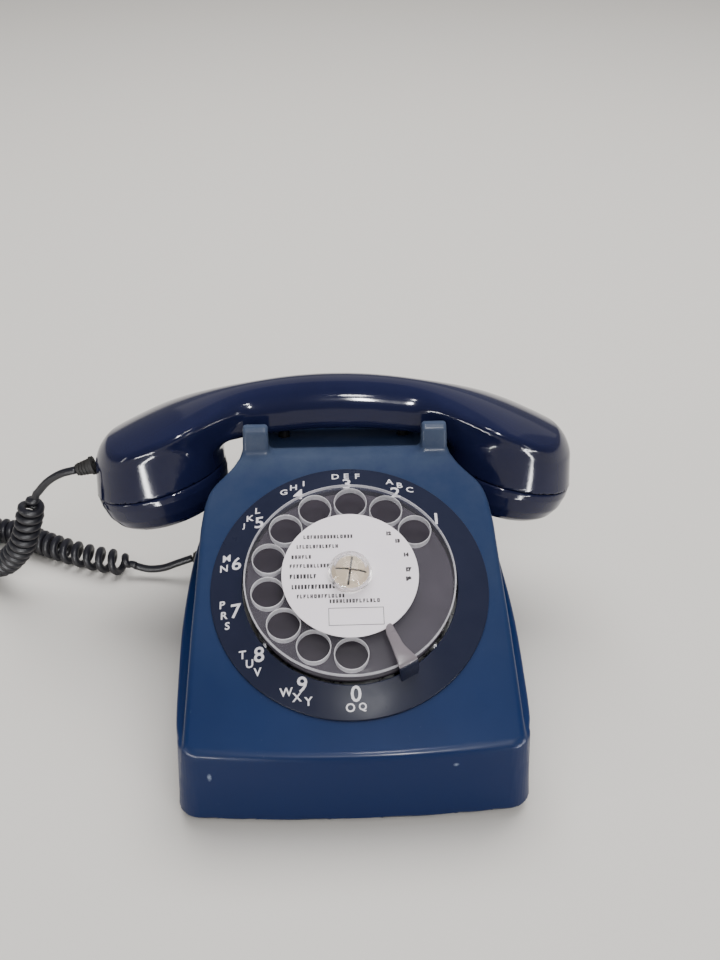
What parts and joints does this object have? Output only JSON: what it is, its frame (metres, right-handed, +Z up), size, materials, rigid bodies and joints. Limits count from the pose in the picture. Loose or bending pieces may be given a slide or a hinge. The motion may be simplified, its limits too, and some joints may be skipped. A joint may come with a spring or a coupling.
{
  "type": "rotary desk telephone",
  "caption": "Blue desk telephone with a sloping rotary dial, a clear finger wheel, an arched handset across the cradle and a coiled handset cord.",
  "frame": {"origin": "middle of the footprint of the telephone with its handset on, on the table under the feet", "axes": "+X along the handset towards the earpiece, -Y the front with the dial, +Z up"},
  "size_m": [0.3373, 0.2191, 0.1331],
  "materials": {
    "blue_case": "satin moulded plastic with a fine grain",
    "navy_handset": "polished moulded plastic",
    "dark_ring": "satin dark plastic with printed figures",
    "clear_plastic": "clear moulded plastic",
    "white_card": "printed card",
    "beige_screw": "bronze-coloured screw head",
    "grey_plastic": "satin grey plastic",
    "plated_steel": "zinc-plated steel",
    "brass": "turned or stamped brass",
    "black_rubber": "soft rubber",
    "black_plastic": "moulded plastic",
    "copper_winding": "varnished wire winding",
    "circuit_board": "bare laminate board",
    "grey_cord": "dull flexible cord jacket"
  },
  "bodies": {
    "base": {"case_cover": "blue_case", "base_plate": "plated_steel", "foot_front_left": "black_rubber", "foot_front_right": "black_rubber", "foot_rear_left": "black_rubber", "foot_rear_right": "black_rubber", "cover_screw_front": "plated_steel", "cover_screw_rear_left": "plated_steel", "cover_screw_rear_right": "plated_steel", "number_ring": "dark_ring", "dial_plate": "dark_ring", "finger_stop": "grey_plastic", "dial_works_frame": "plated_steel", "dial_bush": "brass", "return_spring": "plated_steel", "governor_cup": "plated_steel", "pulse_contacts": "black_plastic", "hook_bracket": "plated_steel", "hook_contacts": "black_plastic", "gong_left": "brass", "gong_right": "brass", "ringer_frame": "plated_steel", "ringer_coil": "copper_winding", "ringer_core": "plated_steel", "circuit_board": "circuit_board", "board_spacer_0": "brass", "board_spacer_1": "brass", "board_spacer_2": "brass", "board_spacer_3": "brass", "induction_coil": "copper_winding", "line_capacitor": "grey_plastic", "terminal_strip": "black_plastic", "handset_cord_gland": "black_rubber", "line_cord_gland": "black_rubber", "handset_cord_coil": "grey_cord", "handset_cord_tail": "grey_cord"},
    "dial": {"finger_wheel": "clear_plastic", "number_card": "white_card", "centre_knob": "clear_plastic", "knob_screw": "beige_screw", "dial_shaft": "plated_steel", "main_gear": "brass"},
    "governor": {"governor_rotor": "brass"},
    "pulse_wheel": {"pulse_cam": "black_plastic"},
    "hook_arm": {"hook_lever": "plated_steel"},
    "plunger_left": {"hook_plunger_left": "grey_plastic"},
    "plunger_right": {"hook_plunger_right": "grey_plastic"},
    "clapper": {"bell_clapper": "plated_steel"},
    "handset": {"handset_body": "navy_handset", "earpiece_cap": "navy_handset", "mouthpiece_cap": "navy_handset", "receiver_capsule": "plated_steel", "transmitter_capsule": "plated_steel", "handset_cord_relief": "black_rubber", "handset_cord_lead": "grey_cord"}
  },
  "joints": [
    {"name": "dial_turn", "type": "hinge", "parent": "base", "child": "dial", "pos_m": [0.005, -0.03231, 0.07586], "axis": [0, -0.4226, 0.9063], "range_deg": [-330, 0], "stiffness_Nm_per_rad": 0.008, "springref_deg": 34.38},
    {"name": "governor_spin", "type": "hinge", "parent": "base", "child": "governor", "pos_m": [0.04037, -0.03231, 0.07586], "axis": [0, -0.4226, 0.9063], "range_deg": [0, 990]},
    {"name": "pulse_cam_turn", "type": "hinge", "parent": "base", "child": "pulse_wheel", "pos_m": [-0.0347, -0.03231, 0.07586], "axis": [0, -0.4226, 0.9063], "range_deg": [0, 660]},
    {"name": "handset_lift", "type": "slide", "parent": "base", "child": "handset", "axis": [0, 0, 1], "range_m": [0, 0.12]},
    {"name": "hook_lever_turn", "type": "hinge", "parent": "base", "child": "hook_arm", "pos_m": [0.005, 0.037, 0.0775], "axis": [1, 0, 0], "range_deg": [0, 13.75]},
    {"name": "hook_left_slide", "type": "slide", "parent": "base", "child": "plunger_left", "axis": [0, 0, 1], "range_m": [0, 0.006]},
    {"name": "hook_right_slide", "type": "slide", "parent": "base", "child": "plunger_right", "axis": [0, 0, 1], "range_m": [0, 0.006]},
    {"name": "clapper_swing", "type": "hinge", "parent": "base", "child": "clapper", "pos_m": [0.005, 0.075, 0.0285], "axis": [0, 0, 1], "range_deg": [-20, 20]}
  ],
  "couplings": [
    {"joint": "governor_spin", "follows": "dial_turn", "ratio": -3},
    {"joint": "pulse_cam_turn", "follows": "dial_turn", "ratio": -2},
    {"joint": "hook_lever_turn", "follows": "handset_lift", "rad_per_m": 1.9997},
    {"joint": "hook_left_slide", "follows": "handset_lift", "ratio": 0.049995},
    {"joint": "hook_right_slide", "follows": "handset_lift", "ratio": 0.049995}
  ]
}
